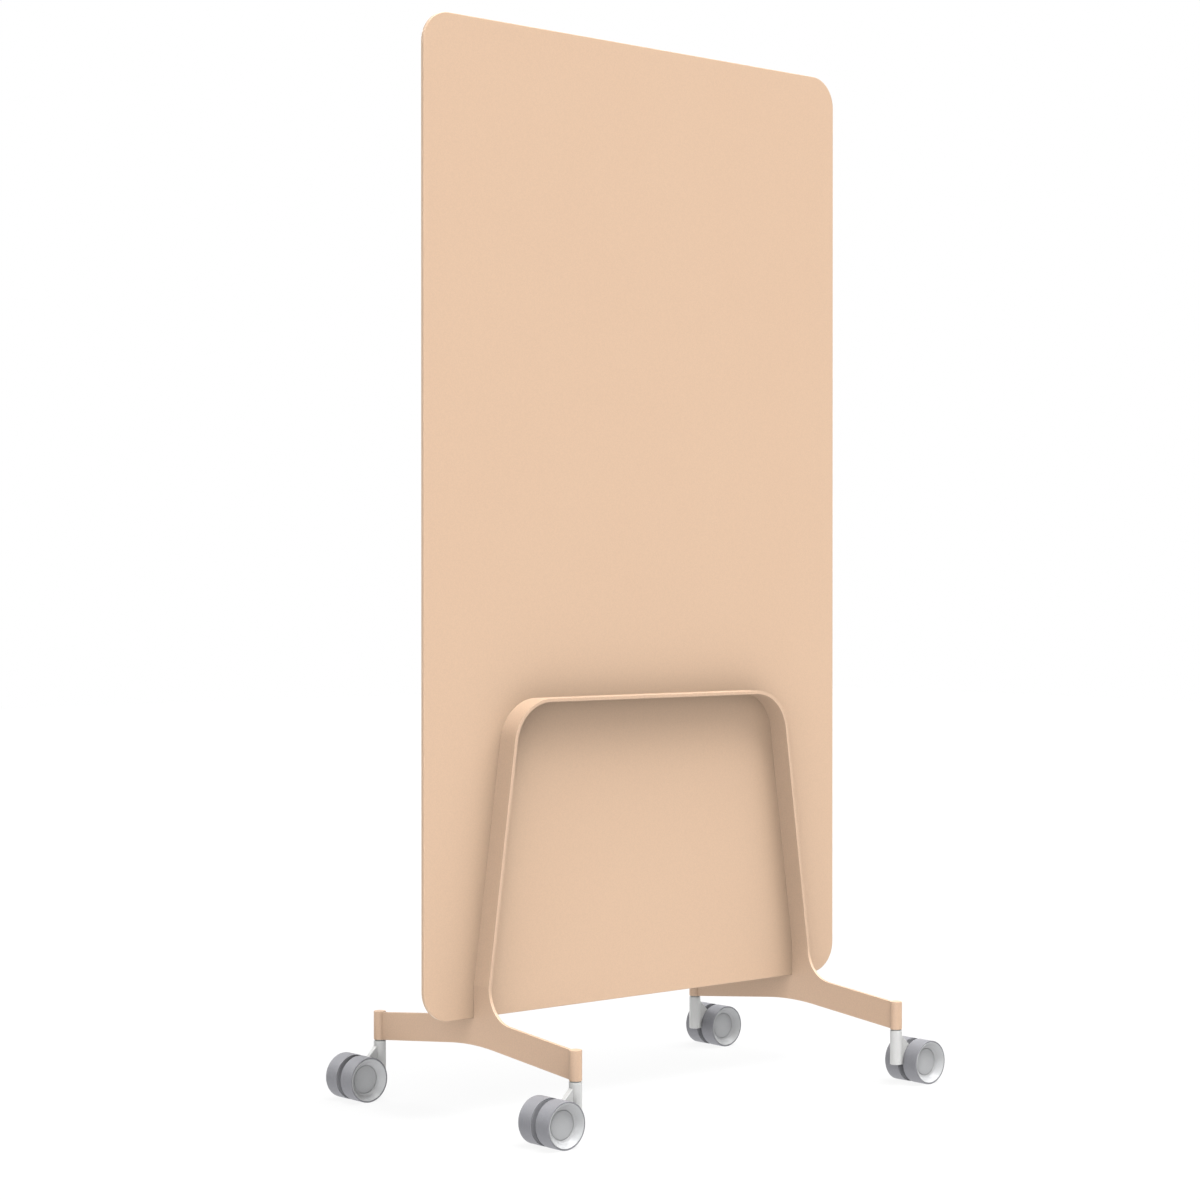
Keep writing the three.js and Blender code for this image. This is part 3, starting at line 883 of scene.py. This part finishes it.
def makeFloor():
    # matt studio paint with a faint roller nap; its shadow stays, softened for the camera,
    # and it lets the surround light the object from below
    half, squares = studio["floorHalf"], studio["floorSquares"]
    bm = bmesh.new()
    bmesh.ops.create_grid(bm, x_segments=squares, y_segments=squares, size=half)
    floor = makeObject("studioFloor", makeMesh("studioFloor", bm), None)
    material, tree, place = startMaterial("mattFloorPaint")
    nap = addNode(tree, "ShaderNodeTexNoise", {
        "Vector": place, "Scale": perMetre(studio["napSpacing"]), "Detail": studio["napDetail"],
    })
    bump = addNode(tree, "ShaderNodeBump", {
        "Height": nap.outputs["Fac"], "Strength": 1.0, "Distance": studio["napDepth"] * mm,
    })
    paint = addNode(tree, "ShaderNodeBsdfPrincipled", {
        "Base Color": linearColour(studio["floor"]), "Roughness": studio["floorRoughness"],
        "Normal": bump.outputs["Normal"], "Specular IOR Level": studio["floorShine"],
    })
    white = addNode(tree, "ShaderNodeEmission", {"Color": (1, 1, 1, 1), "Strength": 1.0})
    share = addNode(tree, "ShaderNodeMath", {
        0: cameraOrMirrorRay(tree), 1: 1 - studio["floorShadow"],
    }, operation="MULTIPLY")
    seen = addNode(tree, "ShaderNodeMixShader", {
        0: share.outputs[0], 1: paint.outputs["BSDF"], 2: white.outputs["Emission"],
    })
    addNode(tree, "ShaderNodeOutputMaterial", {"Surface": seen.outputs["Shader"]})
    floor.data.materials.append(material)
    floor.visible_diffuse = False
    floor.visible_shadow = False


def makeSurround():
    world = bpy.data.worlds.new("paleSurround")
    bpy.context.scene.world = world
    world.use_nodes = True
    tree = world.node_tree
    tree.nodes.clear()
    way = addNode(tree, "ShaderNodeTexCoord")
    level = 0.0
    for side, strength in studio["surroundFrom"].items():
        facing = addNode(tree, "ShaderNodeVectorMath", {
            0: way.outputs["Generated"], 1: side,
        }, operation="DOT_PRODUCT")
        towards = addNode(tree, "ShaderNodeMath", {
            0: facing.outputs["Value"], 1: 0.0,
        }, operation="MAXIMUM")
        level = addNode(tree, "ShaderNodeMath", {
            0: towards.outputs[0], 1: strength, 2: level,
        }, operation="MULTIPLY_ADD").outputs[0]
    light = addNode(tree, "ShaderNodeBackground", {
        "Color": linearColour(studio["surround"]), "Strength": level,
    })
    white = addNode(tree, "ShaderNodeBackground", {"Color": (1, 1, 1, 1), "Strength": 1.0})
    seen = addNode(tree, "ShaderNodeMixShader", {
        0: cameraOrMirrorRay(tree), 1: light.outputs[0], 2: white.outputs[0],
    })
    addNode(tree, "ShaderNodeOutputWorld", {"Surface": seen.outputs["Shader"]})


def makeLamp(name, strength, angle, fromWay):
    light = bpy.data.lights.new(name, "SUN")
    light.energy = strength
    light.angle = math.radians(angle)
    lamp = bpy.data.objects.new(name, light)
    bpy.context.scene.collection.objects.link(lamp)
    lamp.rotation_euler = Vector(fromWay).to_track_quat("Z", "Y").to_euler()


def makeCamera():
    view = bpy.data.cameras.new("photoView")
    view.lens = studio["lens"]
    view.sensor_width = studio["sensorWidth"]
    camera = bpy.data.objects.new("photoView", view)
    bpy.context.scene.collection.objects.link(camera)
    camera.location = studio["cameraPlace"]
    pitch, yaw = math.radians(90 - studio["cameraDip"]), math.radians(studio["cameraYaw"])
    camera.rotation_euler = (pitch, 0, yaw)
    bpy.context.scene.camera = camera


makeFloor()
makeSurround()
for name, (strength, angle, fromWay) in studio["lamps"].items():
    makeLamp(name, strength, angle, fromWay)
makeCamera()
bpy.context.scene.cycles.diffuse_bounces = 0  # direct light alone keeps the inside corners neutral
bpy.context.scene.view_settings.view_transform = "Standard"
print("studio: floor, surround, lamps and camera")
